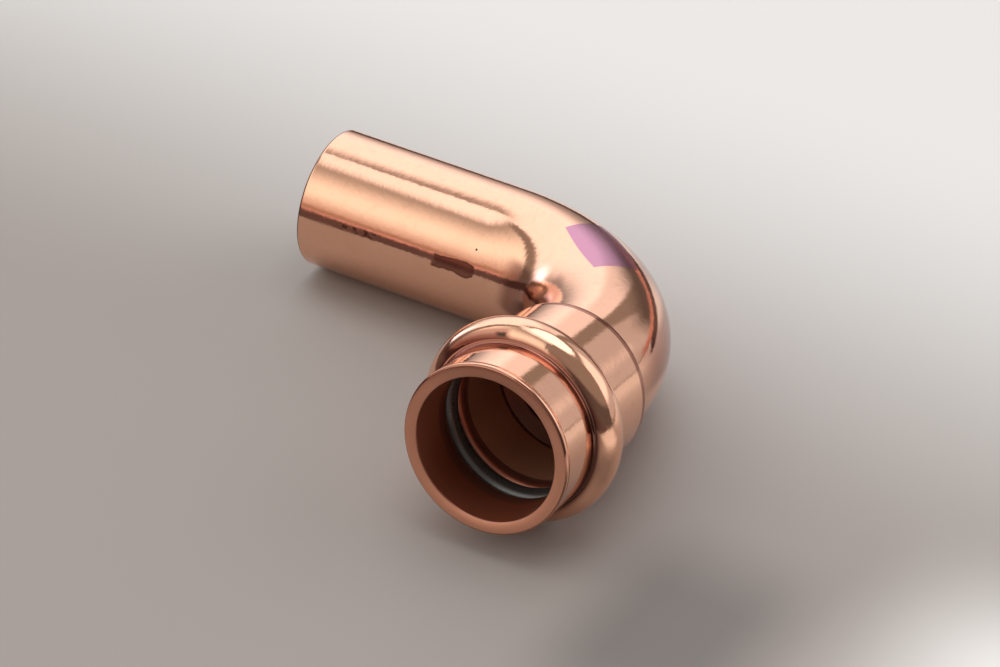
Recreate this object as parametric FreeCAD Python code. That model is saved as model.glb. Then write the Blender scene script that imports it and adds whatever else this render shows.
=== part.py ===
"""Copper press fit elbow: a plain pipe end and a socket with a rolled bead, at right angles.

One length of copper tube is bent, its one end is left plain and its other end is widened
into a socket. A bead rolled round the socket holds a rubber sealing ring on its inside.
Millimetres. Origin: centre of the socket's mouth. +Y runs into the socket, the plain end
leaves the bend along -X, and +Z is up.
"""
import FreeCAD, Part
import math
import os

os.makedirs("parts", exist_ok=True)

Vec = FreeCAD.Vector

# The pipe and its tube walls
pipe_diameter = 15.0        # outside of the pipe and of the plain end
pipe_clearance = 0.1        # gap between the pipe and the socket, all round
tube_wall = 1.1             # wall of the plain end and the bend
lead_wall = 1.35            # wall of the lead-in, between the mouth and the bead
neck_wall = 1.05            # wall of the neck, between the bead and the shoulder

# Lengths from the point where the two centre lines cross
spigot_reach = 39.3         # to the plain end's tip
socket_reach = 37.7         # to the socket's mouth

# The bend
bend_radius = 18.2          # of the centre line

# The rolled bead and what it holds
bead_setback = 7.94         # from the mouth to the middle of the bead
bead_height = 1.87          # crest above the lead-in
bead_arc_radius = 2.13      # rounding of the crest, outside
bead_wall = 1.0             # wall over the groove
bead_front_foot_radius = 0.25
bead_rear_foot_radius = 0.35
ring_side_gap = 0.03        # between the sealing ring and the groove's sides
ring_proud = 0.15           # how far the ring stands into the bore

# The socket's end and its shoulder
socket_depth = 17.3         # from the mouth to the pipe stop
stop_length = 1.0           # slope of the pipe stop along the bore
shoulder_outer_radius = 0.8  # rounding where the neck turns down to the tube
shoulder_inner_radius = 0.5  # rounding where the shoulder meets the tube

# Rounded and broken edges
rim_flare = 0.08            # swelling of the mouth's rim over the lead-in
rim_flare_length = 0.8
rim_round = 0.3             # mouth, outside edge
mouth_break = 0.12          # mouth, inside edge
spigot_round = 0.35         # tip, outside edge
spigot_break = 0.15         # tip, inside edge

# Sizes that follow from those above
tube_r = pipe_diameter / 2
lumen_r = tube_r - tube_wall
bore_r = tube_r + pipe_clearance
lead_r = bore_r + lead_wall
neck_r = bore_r + neck_wall
rim_r = lead_r + rim_flare
crest_centre_r = lead_r + bead_height - bead_arc_radius
groove_arc_radius = bead_arc_radius - bead_wall
groove_edge_radius = crest_centre_r - bore_r
groove_half_width = groove_arc_radius + groove_edge_radius
bend_end_y = socket_reach - bend_radius


def arc_through(centre, radius, start_deg, end_deg):
    """Arc of a circle in the profile plane, x across the axis and y along it."""
    points = []
    for angle in (start_deg, (start_deg + end_deg) / 2, end_deg):
        turn = math.radians(angle)
        points.append(centre + Vec(math.cos(turn), math.sin(turn), 0) * radius)
    return Part.Arc(*points).toShape()


def joined(edges):
    """The edges with straight lines filled in wherever one ends away from the next."""
    path = []
    for edge in edges:
        if path:
            here = path[-1].valueAt(path[-1].LastParameter)
            there = edge.valueAt(edge.FirstParameter)
            if here.distanceToPoint(there) > 1e-6:
                path.append(Part.makeLine(here, there))
        path.append(edge)
    return path


def turned(edges, axis_start_y, axis_end_y):
    """Solid of revolution about the socket's axis: the profile is closed along that axis."""
    path = joined(edges)
    first = path[0].valueAt(path[0].FirstParameter)
    last = path[-1].valueAt(path[-1].LastParameter)
    low = Vec(0, axis_start_y, 0)
    high = Vec(0, axis_end_y, 0)
    closing = [Part.makeLine(last, high), Part.makeLine(high, low), Part.makeLine(low, first)]
    face = Part.Face(Part.Wire(path + closing))
    solid = face.revolve(Vec(0, 0, 0), Vec(0, 1, 0), 360)
    return solid if solid.Volume > 0 else solid.reversed()


def bead_foot(side_r, foot_radius, side):
    """Centre of a bead foot's rounding, and the angle of the line to the crest's centre.

    The rounding touches the cylinder of radius side_r and the crest's arc. side is -1
    towards the mouth and +1 towards the bend."""
    rise = side_r + foot_radius - crest_centre_r
    reach = bead_arc_radius + foot_radius
    run = math.sqrt(reach ** 2 - rise ** 2)
    return Vec(side_r + foot_radius, bead_setback + side * run, 0), math.degrees(math.atan2(run, rise))


def socket_outside():
    """The socket's outside: rim, lead-in, rolled bead, neck and shoulder, down to the tube."""
    crest = Vec(crest_centre_r, bead_setback, 0)
    front, front_lean = bead_foot(lead_r, bead_front_foot_radius, -1)
    rear, rear_lean = bead_foot(neck_r, bead_rear_foot_radius, 1)
    drop = (neck_r - tube_r) / (shoulder_outer_radius + shoulder_inner_radius)
    turn = math.degrees(math.acos(1 - drop))
    shoulder_run = (shoulder_outer_radius + shoulder_inner_radius) * math.sin(math.radians(turn))
    shoulder_top = Vec(neck_r - shoulder_outer_radius, socket_depth, 0)
    shoulder_foot = Vec(tube_r + shoulder_inner_radius, socket_depth + shoulder_run, 0)
    rim_end = Vec(rim_r, rim_flare_length, 0)
    edges = [
        arc_through(Vec(rim_r - rim_round, rim_round, 0), rim_round, -90, 0),
        Part.makeLine(Vec(rim_r, rim_flare_length / 2, 0), rim_end - Vec(rim_flare, 0, 0)),
        arc_through(front, bead_front_foot_radius, 180, 180 - front_lean),
        arc_through(crest, bead_arc_radius, -front_lean, rear_lean),
        arc_through(rear, bead_rear_foot_radius, 180 + rear_lean, 180),
        arc_through(shoulder_top, shoulder_outer_radius, 0, turn),
        arc_through(shoulder_foot, shoulder_inner_radius, 180 + turn, 180),
        Part.makeLine(Vec(tube_r, shoulder_foot.y, 0), Vec(tube_r, bend_end_y, 0)),
    ]
    return turned(edges, 0, bend_end_y)


def socket_inside():
    """The socket's hollow: lead-in, sealing groove, pipe seat and pipe stop."""
    crest = Vec(crest_centre_r, bead_setback, 0)
    side = Vec(0, groove_half_width, 0)
    lip = Vec(bore_r + mouth_break, 0, 0)
    edges = [
        Part.makeLine(lip, Vec(bore_r, mouth_break, 0)),
        arc_through(crest - side, groove_edge_radius, 180, 90),
        arc_through(crest, groove_arc_radius, -90, 90),
        arc_through(crest + side, groove_edge_radius, -90, -180),
        Part.makeLine(Vec(bore_r, socket_depth, 0), Vec(lumen_r, socket_depth + stop_length, 0)),
        Part.makeLine(Vec(lumen_r, socket_depth + stop_length, 0), Vec(lumen_r, bend_end_y, 0)),
    ]
    return turned(edges, 0, bend_end_y)


def bend_solid(radius):
    """The quarter bend, round everywhere, from the socket's axis to the plain end's."""
    section = Part.makeCircle(radius, Vec(0, bend_end_y, 0), Vec(0, 1, 0))
    face = Part.Face(Part.Wire(section))
    return face.revolve(Vec(-bend_radius, bend_end_y, 0), Vec(0, 0, 1), 90)


def spigot_solid(radius, tip_edge):
    """The straight plain end from its tip to the bend, with the given edge at the tip."""
    length = spigot_reach - bend_radius
    rod = Part.makeCylinder(radius, length, Vec(-spigot_reach, socket_reach, 0), Vec(1, 0, 0))
    tip = [edge for edge in rod.Edges if edge.BoundBox.XMax < -spigot_reach + 1e-3]
    return rod.makeFillet(tip_edge, tip) if tip_edge else rod


def spigot_hollow():
    """The waterway of the plain end, widened by a small break at its tip."""
    length = spigot_reach - bend_radius
    tip = Vec(-spigot_reach, socket_reach, 0)
    bore = Part.makeCylinder(lumen_r, length, tip, Vec(1, 0, 0))
    wide = lumen_r + spigot_break
    return bore.fuse(Part.makeCone(wide, lumen_r, spigot_break, tip, Vec(1, 0, 0)))


def fitting_body():
    """The copper elbow, one piece of tube."""
    outside = spigot_solid(tube_r, spigot_round).fuse([bend_solid(tube_r), socket_outside()])
    hollow = spigot_hollow().fuse([bend_solid(lumen_r), socket_inside()])
    return outside.cut(hollow).removeSplitter()


def sealing_ring():
    """The rubber ring in the bead's groove, standing a little into the bore."""
    section_r = groove_arc_radius - ring_side_gap
    centre_r = bore_r - ring_proud + section_r
    return Part.makeTorus(centre_r, section_r, Vec(0, bead_setback, 0), Vec(0, 1, 0))


for node, shape in (("fitting_body", fitting_body()), ("sealing_ring", sealing_ring())):
    solids = shape.Solids
    print(node, "solids", len(solids), "valid", shape.isValid(), "volume", round(shape.Volume, 2))
    shape = solids[0] if len(solids) == 1 else shape
    shape.exportStep("parts/" + node + ".step")
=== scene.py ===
"""Looks of the copper press fit elbow: a plain pipe end and a socket with a rolled bead.

Metres. The centre of the socket's mouth is the origin, +Y runs into the socket, the plain end
leaves the bend along -X, and +Z is up.
"""
import bpy
import math
import numpy as np
from mathutils import Matrix


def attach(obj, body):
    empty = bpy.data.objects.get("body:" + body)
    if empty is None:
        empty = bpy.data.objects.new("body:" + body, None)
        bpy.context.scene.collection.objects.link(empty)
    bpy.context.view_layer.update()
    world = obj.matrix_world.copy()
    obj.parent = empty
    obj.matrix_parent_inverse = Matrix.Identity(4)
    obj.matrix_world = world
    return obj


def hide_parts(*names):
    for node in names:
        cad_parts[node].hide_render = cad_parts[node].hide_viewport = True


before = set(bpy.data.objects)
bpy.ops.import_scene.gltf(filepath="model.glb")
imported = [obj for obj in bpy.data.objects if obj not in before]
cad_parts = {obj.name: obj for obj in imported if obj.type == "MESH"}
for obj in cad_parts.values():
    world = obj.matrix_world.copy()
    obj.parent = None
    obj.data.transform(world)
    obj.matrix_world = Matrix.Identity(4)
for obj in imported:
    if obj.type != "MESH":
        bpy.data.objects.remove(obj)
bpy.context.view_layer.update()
mm = 0.001

# The photograph's view: a long lens a little under half a metre away, looking down on the
# socket's mouth from the front right, with the picture turned by a few degrees.
view_place = (165.414 * mm, -352.406 * mm, 217.851 * mm)
view_azimuth = math.radians(25.135)
view_elevation = math.radians(27.764)
view_roll = math.radians(7.249)

level_right = np.array([math.cos(view_azimuth), math.sin(view_azimuth), 0.0])
backward = np.array([math.sin(view_azimuth) * math.cos(view_elevation),
                     -math.cos(view_azimuth) * math.cos(view_elevation),
                     math.sin(view_elevation)])
level_up = np.cross(backward, level_right)
view_right = level_right * math.cos(view_roll) + level_up * math.sin(view_roll)
view_up = np.cross(backward, view_right)

camera = bpy.data.objects.new("camera", bpy.data.cameras.new("camera"))
bpy.context.scene.collection.objects.link(camera)
camera.data.sensor_width = 36.0
camera.data.lens = 165.6
camera.data.clip_start, camera.data.clip_end = 0.01, 10.0
turned = Matrix([list(axis) for axis in (view_right, view_up, backward)]).transposed()
camera.matrix_world = Matrix.Translation(view_place) @ turned.to_4x4()
bpy.context.scene.camera = camera
bpy.context.scene.view_settings.view_transform = "Standard"

# The studio: a bright ceiling, a wide soft box on the left, smaller ones in front and behind, a
# lamp low on the left and a dim room between them. Narrow warm and dark strips cross the room low
# in front and low behind, and the copper shows them as lines along its sides.


class Field:
    """A node's output socket, so that Python's arithmetic on it adds Math nodes."""

    def __init__(self, socket):
        self.socket = socket

    @classmethod
    def node(cls, tree, kind, settings=None, sockets=None, output=0):
        """One node: its settings are made first, then its sockets' numbers, colours or links."""
        made = tree.nodes.new("ShaderNode" + kind)
        for name, value in (settings or {}).items():
            setattr(made, name, value)
        for name, value in (sockets or {}).items():
            if isinstance(value, Field):
                tree.links.new(value.socket, made.inputs[name])
            else:
                made.inputs[name].default_value = value
        return cls(made.outputs[output]) if made.outputs else None

    def also(self, kind, settings=None, sockets=None, output=0):
        """Another node in the same tree."""
        return Field.node(self.socket.id_data, kind, settings, sockets, output)

    def maths(self, operation, first, second=0.0):
        """A Math node in the same tree."""
        return self.also("Math", {"operation": operation}, {0: first, 1: second})

    def __add__(self, other):
        return self.maths("ADD", self, other)

    def __sub__(self, other):
        return self.maths("SUBTRACT", self, other)

    def __mul__(self, other):
        return self.maths("MULTIPLY", self, other)

    def __truediv__(self, other):
        return self.maths("DIVIDE", self, other)

    def __rsub__(self, other):
        return self.maths("SUBTRACT", other, self)

    def __abs__(self):
        return self.maths("ABSOLUTE", self)

    __radd__ = __add__
    __rmul__ = __mul__

    def rise(self, low, high):
        """0 below low, 1 above high, and a smooth S between them; low above high falls."""
        return self.also("MapRange", {"interpolation_type": "SMOOTHSTEP"},
                         {"Value": self, "From Min": low, "From Max": high})

    def between(self, low, high, soft):
        """1 from low to high and 0 outside, with edges that fade over soft to each side."""
        return self.rise(low - soft, low + soft) * self.rise(high + soft, high - soft)

    def coordinates(self):
        """The three numbers of a vector."""
        split = self.also("SeparateXYZ", sockets={0: self}).socket.node
        return [Field(socket) for socket in split.outputs]

    def toward(self, mask, colour):
        """This colour where mask is 0 and the other where it is 1."""
        return self.also("Mix", {"data_type": "RGBA"}, {0: mask, 6: self, 7: colour}, output=2)


room_light = (0.32, 0.29, 0.26, 1.0)
low_wall_light = (0.13, 0.11, 0.10, 1.0)
front_wall_light = (0.66, 0.46, 0.38, 1.0)
left_box_light = (1.52, 1.52, 1.55, 1.0)
left_end_light = (1.12, 1.10, 1.12, 1.0)
lamp_light = (2.4, 2.5, 3.0, 1.0)
front_box_light = (1.38, 1.38, 1.28, 1.0)
dusk_light = (0.48, 0.32, 0.25, 1.0)
glow_light = (0.80, 0.43, 0.38, 1.0)
ledge_light = (0.19, 0.11, 0.11, 1.0)
back_wall_light = (0.64, 0.62, 0.62, 1.0)
back_box_light = (1.40, 1.38, 1.38, 1.0)
ceiling_light = (1.50, 1.52, 1.55, 1.0)
zenith_light = (2.3, 2.3, 2.3, 1.0)
warm_strip_light = (0.62, 0.30, 0.23, 1.0)

studio = bpy.data.worlds.new("studio")
bpy.context.scene.world = studio
studio.use_nodes = True
studio.node_tree.nodes.clear()
outward = Field.node(studio.node_tree, "TexCoord")
across, ahead, upward = outward.coordinates()
degree = 180.0 / math.pi
bearing = across.maths("ARCTAN2", across, 0.0 - ahead) * degree  # 0 towards -Y, 90 towards +X
height = upward.maths("ARCSINE", upward) * degree  # above the horizon

light = outward.also("RGB")
light.socket.default_value = room_light
light = light.toward(bearing.between(2, 94, 3.0) * height.rise(20.0, 12.0), low_wall_light)
light = light.toward(bearing.between(-78, -2, 4.0) * height.rise(30.0, 8.0), front_wall_light)
light = light.toward(bearing.between(-80, -9, 2.0) * height.rise(-2.0, 26.0)
                     * height.rise(67.0, 30.0), front_box_light)
in_front = bearing.between(-60, -10, 4.0)
light = light.toward(in_front * height.between(-2.0, 3.0, 2.0), dusk_light)
light = light.toward(in_front * height.between(-4.3, -2.3, 0.6), glow_light)
light = light.toward(in_front * height.rise(-4.0, -5.0), ledge_light)
left_box = height.rise(0.0, 33.0) * height.rise(66.0, 54.0)
light = light.toward(bearing.between(-175, -93, 2.0) * left_box, left_end_light)
light = light.toward(bearing.between(-156, -93, 4.0) * left_box, left_box_light)
light = light.toward(bearing.between(-110, -98, 5.0) * height.between(-6, 19, 8.0), lamp_light)
light = light.toward(bearing.between(94, 171, 2.0) * height.between(4, 58, 2.0), back_wall_light)
light = light.toward(bearing.between(95, 148, 6.0) * height.between(19, 57, 5.0), back_box_light)
behind = abs(bearing)
light = light.toward(behind.rise(156.0, 170.0) * height.rise(29.0, 13.0), low_wall_light)
warm_strip = bearing.rise(146.0, 154.0) + bearing.rise(-163.0, -168.0)
light = light.toward(warm_strip * height.between(3.5, 7.5, 0.8), warm_strip_light)
ceiling_edge = 65.5 - 7.5 * bearing.between(-104, 0, 4.0)
light = light.toward((height - ceiling_edge).rise(-1.5, 7.0), ceiling_light)
light = light.toward(height.rise(67.0, 73.0), zenith_light)
light = light.also("Background", sockets={"Color": light, "Strength": 1.0})
light.also("OutputWorld", sockets={"Surface": light})

# The paper: a pale sheet that the elbow lies on as it does by itself, on its bead and its plain
# end, so the sheet slopes by a few degrees against the socket's axis. It ends just outside the
# picture on the left. Its tones are painted light and shade: grey painted shade in front, painted
# light at its back and on its right, and one patch of painted shadow beside the socket.
floor_slope = math.radians(6.30)
floor_drop = 11.708 * mm  # under the socket's mouth
sheet_corners = ((-0.031, -0.046), (0.240, -0.110), (0.500, 0.349), (0.130, 0.349), (0.045, 0.100),
                 (0.004, 0.139), (-0.104, 0.067))
sheet_shade = (0.385, 0.345, 0.325, 1.0)
sheet_painted_light_back = (0.84, 0.83, 0.82, 1.0)
sheet_painted_shadow = (0.23, 0.21, 0.20, 1.0)
sheet_painted_light_right = (0.95, 0.93, 0.91, 1.0)


def flat_sheet(name, corners, lowered):
    """A flat polygon on the sloping floor: z is y times the slope's tangent, less the drops."""
    mesh = bpy.data.meshes.new(name)
    points = [(x, y, y * math.tan(floor_slope) - floor_drop - lowered) for x, y in corners]
    mesh.from_pydata(points, [], [tuple(range(len(points)))])
    sheet = bpy.data.objects.new(name, mesh)
    bpy.context.scene.collection.objects.link(sheet)
    return mesh


paper = bpy.data.materials.new("pale_paper")
paper.use_nodes = True
paper.node_tree.nodes.clear()
place = Field.node(paper.node_tree, "TexCoord", output=3)
floor_x, floor_y = place.coordinates()[:2]
tone = place.also("RGB")
tone.socket.default_value = sheet_shade
# Painted light: the paper brighter towards its back.
tone = tone.toward(floor_y.rise(0.015, 0.10), sheet_painted_light_back)
# Painted shadow: a darker patch on the paper just right of the socket.
painted_shadow_mask = floor_x.between(0.014, 0.031, 0.005) * floor_y.between(-0.014, 0.012, 0.008)
tone = tone.toward(painted_shadow_mask, sheet_painted_shadow)
# Painted light: the paper brighter towards its right.
tone = tone.toward(floor_x.rise(0.032, 0.055) * floor_y.rise(0.035, 0.010), sheet_painted_light_right)
skin = place.also("BsdfPrincipled", sockets={"Base Color": tone, "Roughness": 0.9})
skin.also("OutputMaterial", sockets={"Surface": skin})
flat_sheet("pale_sheet", sheet_corners, 0.0).materials.append(paper)

# The table top: dark matt wood that goes on a millimetre below the paper, past its edges. The
# picture doesn't reach it, but the copper's lower sides show it.
table_drop = 1.0 * mm  # below the paper
table_corners = ((-0.9, -0.9), (0.9, -0.9), (0.9, 0.35), (-0.9, 0.35))
table_colour = (0.125, 0.085, 0.083, 1.0)

table_top = bpy.data.materials.new("dark_table")
table_top.use_nodes = True
table_top.node_tree.nodes.clear()
skin = Field.node(table_top.node_tree, "BsdfPrincipled",
                  sockets={"Base Color": table_colour, "Roughness": 1.0, "Specular IOR Level": 0.0})
skin.also("OutputMaterial", sockets={"Surface": skin})
flat_sheet("table_top", table_corners, table_drop).materials.append(table_top)

# The fitting's body: one length of copper tube, bent to a quarter turn. Its one end is widened
# into a socket, a bead is rolled round that for the sealing ring, and the ends are turned clean.
pipe_radius = 7.5 * mm
tube_wall = 1.1 * mm
spigot_reach = 39.3 * mm        # from the crossing of the centre lines to the plain end's tip
socket_reach = 37.7 * mm        # from there to the socket's mouth
bend_radius = 18.2 * mm         # of the centre line
bore_radius = 7.6 * mm          # of the socket's inside, where the pipe goes
lead_radius = 8.95 * mm         # outside of the lead-in, between the mouth and the bead
neck_radius = 8.65 * mm         # outside of the neck, between the bead and the shoulder
rim_radius = 9.03 * mm          # of the slightly flared mouth
rim_round = 0.3 * mm
rim_flare_length = 0.8 * mm
mouth_break = 0.12 * mm         # the mouth's broken inner edge
bead_setback = 7.94 * mm        # from the mouth to the middle of the bead
bead_arc_radius = 2.13 * mm
bead_centre_radius = 8.69 * mm  # of the circle that the middle of the bead's arc lies on
bead_wall = 1.0 * mm            # over the groove
front_foot_radius = 0.25 * mm
rear_foot_radius = 0.35 * mm
socket_depth = 17.3 * mm        # from the mouth to the pipe stop
stop_length = 1.0 * mm          # the stop's slope along the bore
shoulder_outer_radius = 0.8 * mm
shoulder_inner_radius = 0.5 * mm
tip_round = 0.35 * mm
tip_break = 0.15 * mm
bend_steps = 80                 # of the mesh along the bend
round_steps = 168               # of the mesh round the tube

lumen_radius = pipe_radius - tube_wall
spigot_length = spigot_reach - bend_radius
bend_length = bend_radius * math.pi / 2
bend_end = socket_reach - bend_radius
mouth_length = spigot_length + bend_length + bend_end  # along the centre line from the plain tip


def rounding(centre_y, centre_r, radius, start, end, count):
    """Points (y, r) of an arc: its centre plus radius times the cosine and sine of an angle that
    goes in even steps from start to end, in degrees."""
    angle = np.radians(np.linspace(start, end, count))
    return np.stack([centre_y + radius * np.cos(angle), centre_r + radius * np.sin(angle)], axis=1)


def foot_of_bead(side_radius, foot_radius, side):
    """Centre (y, r) of the hollow rounding that touches a cylinder and the bead's arc, and the
    angle of the line from it to the bead's centre. side is -1 towards the mouth."""
    climb = side_radius + foot_radius - bead_centre_radius
    run = math.sqrt((bead_arc_radius + foot_radius) ** 2 - climb ** 2)
    lean = math.degrees(math.atan2(run, climb))
    return bead_setback + side * run, side_radius + foot_radius, lean


def wall_outline():
    """The wall's outline as (length along the centre line from the plain tip, radius), closed:
    out of the tip, along the outside to the mouth, and back along the inside. The socket's own
    points are (y, r) pairs, and a point's length is the mouth's length less its y."""
    rear_y, rear_r, rear_lean = foot_of_bead(neck_radius, rear_foot_radius, 1)
    front_y, front_r, front_lean = foot_of_bead(lead_radius, front_foot_radius, -1)
    rounds = shoulder_outer_radius + shoulder_inner_radius
    turn = math.degrees(math.acos(1 - (neck_radius - pipe_radius) / rounds))
    shoulder_foot = socket_depth + rounds * math.sin(math.radians(turn))
    socket_outside = np.concatenate([
        rounding(shoulder_foot, pipe_radius + shoulder_inner_radius, shoulder_inner_radius,
                 -90, -90 - turn, 8),
        rounding(socket_depth, neck_radius - shoulder_outer_radius, shoulder_outer_radius,
                 90 - turn, 90, 9),
        rounding(rear_y, rear_r, rear_foot_radius, -90, -90 - rear_lean, 8),
        rounding(bead_setback, bead_centre_radius, bead_arc_radius,
                 90 - rear_lean, 90 + front_lean, 40),
        rounding(front_y, front_r, front_foot_radius, front_lean - 90, -90, 7),
        [[rim_flare_length, lead_radius], [0.5 * rim_flare_length, rim_radius]],
        rounding(rim_round, rim_radius - rim_round, rim_round, 90, 180, 8)])
    groove = bead_arc_radius - bead_wall
    lip = bead_centre_radius - bore_radius
    socket_inside = np.concatenate([
        [[0.0, bore_radius + mouth_break], [mouth_break, bore_radius]],
        rounding(bead_setback - groove - lip, bead_centre_radius, lip, -90, 0, 10),
        rounding(bead_setback, bead_centre_radius, groove, 180, 0, 24),
        rounding(bead_setback + groove + lip, bead_centre_radius, lip, 180, 270, 10),
        [[socket_depth, bore_radius], [socket_depth + stop_length, lumen_radius]]])
    for part in (socket_outside, socket_inside):
        part[:, 0] = mouth_length - part[:, 0]
    tip = rounding(tip_round, pipe_radius - tip_round, tip_round, 180, 90, 8)
    bend = spigot_length + bend_length * np.linspace(0, 1, bend_steps + 1)
    bend_outside = np.stack([bend, np.full_like(bend, pipe_radius)], axis=1)
    bend_inside = np.stack([bend, np.full_like(bend, lumen_radius)], axis=1)[::-2]
    outside = np.concatenate([tip, bend_outside, socket_outside])
    inside = np.concatenate([socket_inside, bend_inside,
                             [[tip_break, lumen_radius], [0.0, lumen_radius + tip_break]]])
    return stepped(outside), stepped(inside)


def stepped(outline):
    """The outline with points added on its long runs: one near each end, so that smooth shading
    stays flat between them, and others at even steps."""
    near, step = 0.06 * mm, 1.2 * mm
    grown = [outline[:1]]
    for start, end in zip(outline[:-1], outline[1:]):
        length = math.hypot(*(end - start))
        if length > 5 * near:
            count = int(length / step) + 2
            share = np.linspace(near / length, 1 - near / length, count)
            grown.append(start + (end - start) * share[:, None])
        grown.append(end[None])
    return np.concatenate(grown)


def bent_wall(outline, count):
    """Points of the wall on a grid of outline point by angle round the tube, which is 0 on the
    bend's outer side and 90 degrees on top. The outline is carried along the centre line: a
    straight, a quarter circle and a straight. Also each point's place on the unbent tube."""
    length, radius = outline[:, :1], outline[:, 1:]
    angle = np.linspace(0, 2 * math.pi, count, endpoint=False)[None]
    outwards, up = radius * np.cos(angle), radius * np.sin(angle)
    straight_place = np.stack([length + 0 * angle, outwards, up], axis=2)
    turn = np.clip((length - spigot_length) / bend_radius, 0, math.pi / 2)
    before = np.minimum(length - spigot_length, 0)
    after = np.maximum(length - spigot_length - bend_length, 0)
    x = -bend_radius + (bend_radius + outwards) * np.sin(turn) + before
    y = bend_end + (bend_radius + outwards) * np.cos(turn) - after
    return np.stack([x, y, up], axis=2), straight_place


def closed_grid(name, points):
    """A mesh of the grid's points, closed both ways, with its faces towards the outside."""
    rows, columns = points.shape[:2]
    index = np.arange(rows * columns).reshape(rows, columns)
    beside, beyond = np.roll(index, -1, axis=1), np.roll(index, -1, axis=0)
    both = np.roll(beside, -1, axis=0)
    faces = np.stack([index, beside, both, beyond], axis=2).reshape(-1, 4)
    mesh = bpy.data.meshes.new(name)
    mesh.vertices.add(rows * columns)
    mesh.vertices.foreach_set("co", points.astype(np.float32).ravel())
    mesh.loops.add(faces.size)
    mesh.loops.foreach_set("vertex_index", faces.astype(np.int32).ravel())
    mesh.polygons.add(len(faces))
    mesh.polygons.foreach_set("loop_start", np.arange(0, faces.size, 4, dtype=np.int32))
    mesh.update(calc_edges=True)
    mesh.shade_smooth()
    piece = bpy.data.objects.new(name, mesh)
    bpy.context.scene.collection.objects.link(piece)
    return piece


outside, inside = wall_outline()
outline = np.concatenate([outside, inside])
wall_points, wall_place = bent_wall(outline, round_steps)
body = closed_grid("copper_body", wall_points)
place_field = body.data.attributes.new("tube_place", "FLOAT_VECTOR", "POINT")
place_field.data.foreach_set("vector", wall_place.astype(np.float32).ravel())
on_inside = np.repeat(np.arange(len(outline)) >= len(outside), wall_points.shape[1])
inside_field = body.data.attributes.new("inside", "FLOAT", "POINT")
inside_field.data.foreach_set("value", on_inside.astype(np.float32))

copper_colour = (0.905, 0.510, 0.350, 1.0)
worn_colour = (0.80, 0.43, 0.29, 1.0)     # where handling has dulled it
dull_colour = (0.74, 0.29, 0.17, 1.0)     # inside, under a thin skin of oxide
wine_colour = (0.50, 0.14, 0.07, 1.0)     # darker and redder, low in the lead-in
seat_colour = (0.93, 0.49, 0.31, 1.0)     # inside, from the pipe's seat on
cut_colour = (0.74, 0.355, 0.235, 1.0)    # the end faces as the cutter left them
ink_colour = (0.47, 0.205, 0.33, 1.0)
stain_and_shade_colour = (0.34, 0.135, 0.095, 1.0)  # drawing grease baked on, and painted shade
soot_and_shade_colour = (0.07, 0.04, 0.03, 1.0)     # the same burnt black, and black painted shade

copper = bpy.data.materials.new("bright_copper")
copper.use_nodes = True
copper.node_tree.nodes.clear()
spot = Field.node(copper.node_tree, "Attribute", {"attribute_name": "tube_place"}, output=1)
within = spot.also("Attribute", {"attribute_name": "inside"}, output=2)
along, out_part, up_part = spot.coordinates()
round_angle = up_part.maths("ARCTAN2", up_part, out_part) * degree  # 0 on the bend's outer side
inner_angle = up_part.maths("ARCTAN2", up_part, 0.0 - out_part) * degree  # 0 on its inner side
turned_by = (along - spigot_length) * (degree / bend_radius)
from_mouth = mouth_length - along
cloud = spot.also("TexNoise", sockets={"Vector": spot, "Scale": 330.0, "Detail": 3.0})
speckle = spot.also("TexNoise", sockets={"Vector": spot, "Scale": 1500.0, "Detail": 4.0})
lengthwise = spot.also("VectorMath", {"operation": "MULTIPLY"}, {0: spot, 1: (0.06, 1.0, 1.0)})
drawn_lines = spot.also("TexNoise", sockets={"Vector": lengthwise, "Scale": 2600.0, "Detail": 2.0})
crosswise = spot.also("VectorMath", {"operation": "MULTIPLY"}, {0: spot, 1: (1.0, 0.45, 0.45)})
cross_streaks = spot.also("TexNoise", sockets={"Vector": crosswise, "Scale": 3200.0, "Detail": 3.0})

tone = spot.also("RGB")
tone.socket.default_value = copper_colour
tone = tone.toward(cloud.rise(0.45, 0.80) * 0.30 + speckle.rise(0.52, 0.75) * 0.35, worn_colour)

# The printed field: straight edged as it was stamped, so its inner edge bows on the bend. Its
# edges are angles in degrees, round the bend and round the tube.
bow = (turned_by - 43.0) / 15.0
field_inner = 105.0 - 5.5 * bow * bow
field_end = 54.4 + (round_angle - 61.0) * 0.10
ink = (turned_by.rise(27.6, 28.2) * (field_end - turned_by).rise(-0.3, 0.3)
       * (field_inner - round_angle).rise(-0.6, 0.6) * round_angle.rise(61.4, 62.6))
tone = tone.toward(ink * 0.92, ink_colour)

# The hollow: dull from the mouth to the pipe's seat, except for the lip behind the groove, which
# is left bright as painted sheen for its highlight line, and reddest on the floor of the lead-in.
lip_painted_sheen = from_mouth.between(9.98 * mm, 10.3 * mm, 0.06 * mm)
tone = tone.toward(within * from_mouth.rise(0.0, 0.10 * mm) * (1.0 - lip_painted_sheen), dull_colour)
seat = within * from_mouth.rise(10.3 * mm, 10.6 * mm)
tone = tone.toward(seat, seat_colour)
lead_floor = within * from_mouth.rise(0.05 * mm, 0.20 * mm) * from_mouth.rise(7.0 * mm, 6.0 * mm)
tone = tone.toward(lead_floor * up_part.rise(-1.5 * mm, -6.5 * mm) * 0.85, wine_colour)

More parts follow.
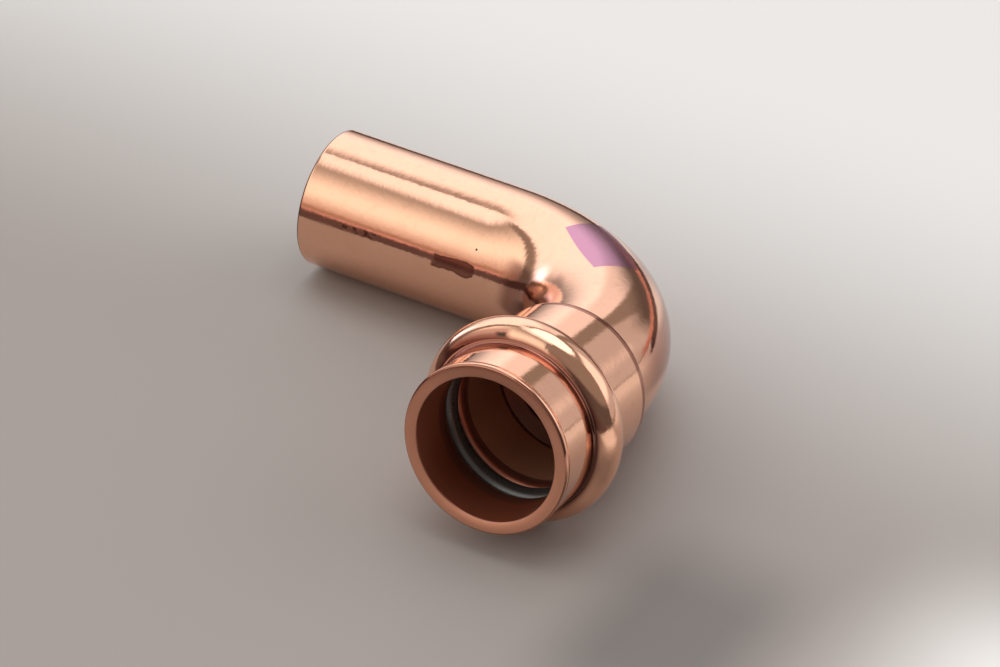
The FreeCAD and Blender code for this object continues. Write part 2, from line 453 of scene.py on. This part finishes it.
# Stains of the plain end: a smear low on its front, which widens to the right and is darkest
# along its own edge, a row of flecks to the left of it, and a speck above it.
smear_widening = (along - 16.6 * mm) / (4.6 * mm)  # 0 at its left end and 1 at its right
smear_half_width = 5.5 + 3.0 * smear_widening - 6.0 * along.rise(20.2 * mm, 21.8 * mm)
smear_inset = smear_half_width - abs(inner_angle + cloud * 10.0 - 13.5)
smear = ((along + speckle * 1.2 * mm).between(17.0 * mm, 22.0 * mm, 0.25 * mm)
         * smear_inset.rise(-0.6, 0.8))
smear_edge = smear * smear_inset.rise(2.4, 0.6)
flecks = (along.between(5.2 * mm, 9.8 * mm, 0.4 * mm) * inner_angle.between(6.5, 12.0, 1.5)
          * speckle.rise(0.50, 0.58))
speck = along.between(20.85 * mm, 21.05 * mm, 0.05 * mm) * inner_angle.between(26.2, 27.8, 0.4)

# Marks of the bend and the socket. Painted shade: the bend's inner corner, the shoulder and the
# bead's two feet, which are black at the outer side in front. A painted dark reflection along the
# bend's outer side. Real stains: a smear with a speck on the bead itself.
# Painted shade in the bend's inner corner.
crook_painted_shade = (turned_by.between(22, 78, 6.0) * inner_angle.between(-10, 33, 4.0)
         + turned_by.between(57, 84, 4.0) * inner_angle.between(33, 55, 4.0) * 0.6)
# A painted dark reflection along the bend's outer side.
outer_side_painted_reflection = (turned_by.between(18, 56, 8.0) * round_angle.between(28, 57, 4.0)
              + turned_by.between(56, 88, 8.0) * round_angle.between(2, 36, 5.0)) * (1.0 - within)
# Painted shade: dark lines in the shoulder and at the bead's feet, black at the front foot's outer
# side.
shoulder_painted_shade = from_mouth.between(16.9 * mm, 17.85 * mm, 0.12 * mm)
rear_foot_painted_shade = from_mouth.between(9.65 * mm, 10.45 * mm, 0.15 * mm)
front_foot_painted_shade = (from_mouth.between(5.50 * mm, 5.90 * mm, 0.10 * mm) * 0.8
              + from_mouth.between(4.60 * mm, 6.00 * mm, 0.25 * mm) * 0.75)
black_foot_painted_shade = from_mouth.between(5.45 * mm, 5.92 * mm, 0.10 * mm) * round_angle.between(-70, 30, 8.0)
bead_smear = from_mouth.between(5.90 * mm, 6.45 * mm, 0.15 * mm) * round_angle.between(101, 150, 3.0)
bead_speck = (from_mouth.between(5.98 * mm, 6.18 * mm, 0.08 * mm)
              * round_angle.between(102.0, 109.0, 2.0) * speckle.rise(0.42, 0.55))

# Marks of the hollow and the ends: painted shade behind the ring and from the pipe stop on, and a
# dark line on the outer edge of the plain tip and of the mouth. The cut faces stay clean, but are
# painted darker along their top: painted shade.
# Painted shade: darker in the groove behind the ring and from the pipe stop on, black past the stop.
hollow_painted_shade = within * (from_mouth.rise(16.9 * mm, 17.5 * mm)
                         + from_mouth.between(8.8 * mm, 9.90 * mm, 0.1 * mm))
stop_painted_shade = within * from_mouth.rise(16.9 * mm, 17.4 * mm)
tip_edge = along.between(0.05 * mm, 0.24 * mm, 0.04 * mm)
mouth_edge = from_mouth.rise(0.22 * mm, 0.12 * mm) * from_mouth.rise(0.0, 0.04 * mm)
cut_face = from_mouth.rise(0.03 * mm, 0.01 * mm) + along.rise(0.03 * mm, 0.01 * mm)

# Real stains and painted shade, summed and painted in one colour.
stain_and_shade = (smear + flecks * 0.9 + speck + crook_painted_shade * 0.75 + outer_side_painted_reflection * 0.8 + shoulder_painted_shade * 0.9
         + rear_foot_painted_shade * 0.75 + front_foot_painted_shade + bead_smear * 0.8 + bead_speck + hollow_painted_shade * 0.9
         + (tip_edge + mouth_edge) * 0.85)
tone = tone.toward(stain_and_shade.maths("MINIMUM", stain_and_shade, 1.0), stain_and_shade_colour)
tone = tone.toward(cut_face, cut_colour)
# Painted shade: the cut faces darker along their top.
tone = tone.toward(cut_face * up_part.rise(3.5 * mm, 8.5 * mm) * 0.45, stain_and_shade_colour)
# Black: the stains' darkest parts and black painted shade.
soot_and_shade = (smear * 0.08 + smear_edge * 0.45 + speck + crook_painted_shade * 0.2 + black_foot_painted_shade * 0.7 + bead_speck
        + stop_painted_shade * 0.7 + tip_edge * 0.8)
tone = tone.toward(soot_and_shade, soot_and_shade_colour)

rough = (0.055 + 0.06 * cloud.rise(0.40, 0.75) + 0.03 * cross_streaks
         + 0.22 * (cut_face + within) + 0.12 * (ink + smear))
metal = 1.0 - 0.24 * within - 0.26 * seat
relief = (cloud * 8.0 + (speckle * 9.0 + cross_streaks * 3.0) * (1.0 - within)
          + (drawn_lines + ink) * 0.5)  # in thousandths of a millimetre
bump = relief.also("Bump", sockets={"Strength": 1.0, "Distance": 0.001 * mm, "Height": relief})
skin = spot.also("BsdfPrincipled", sockets={"Base Color": tone, "Metallic": metal,
                                            "Roughness": rough, "Normal": bump})
skin.also("OutputMaterial", sockets={"Surface": skin})
body.data.materials.append(copper)
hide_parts("fitting_body")
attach(body, "root")

# The sealing ring: a round cord of black rubber moulded in one piece, pressed into the groove
# under the bead by hand. It stands a little into the bore, where the pipe squeezes it.
ring_side_gap = 0.03 * mm
ring_proud = 0.15 * mm
seam_height = 0.015 * mm
seam_width = 0.06  # as a share of the section's radius
rubber_colour = (0.048, 0.058, 0.058, 1.0)

ring_section = bead_arc_radius - bead_wall - ring_side_gap
ring_centre = bore_radius - ring_proud + ring_section


def rubber_ring(rounds, sides):
    """A torus about the socket's axis, whose section swells by a thin seam at its innermost and
    outermost lines: the section's radius plus the seam's height times a narrow bell."""
    turn = np.linspace(0, 2 * math.pi, rounds, endpoint=False)[:, None]
    angle = np.linspace(0, 2 * math.pi, sides, endpoint=False)[None]
    section = ring_section + seam_height * np.exp(-(np.sin(angle) / seam_width) ** 2)
    away = ring_centre + section * np.cos(angle)
    return np.stack([away * np.sin(turn), bead_setback + section * np.sin(angle) + 0 * turn,
                     away * np.cos(turn)], axis=2)


ring = closed_grid("sealing_ring_rubber", rubber_ring(rounds=192, sides=96))
rubber = bpy.data.materials.new("black_rubber")
rubber.use_nodes = True
rubber.node_tree.nodes.clear()
spot = Field.node(rubber.node_tree, "TexCoord", output=3)
grain = spot.also("TexNoise", sockets={"Vector": spot, "Scale": 2500.0, "Detail": 3.0})
bump = grain.also("Bump", sockets={"Strength": 1.0, "Distance": 0.00012 * mm, "Height": grain})
skin = grain.also("BsdfPrincipled", sockets={"Base Color": rubber_colour, "IOR": 1.9,
                                             "Roughness": 0.26 + 0.04 * grain, "Normal": bump})
skin.also("OutputMaterial", sockets={"Surface": skin})
ring.data.materials.append(rubber)
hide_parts("sealing_ring")
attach(ring, "root")
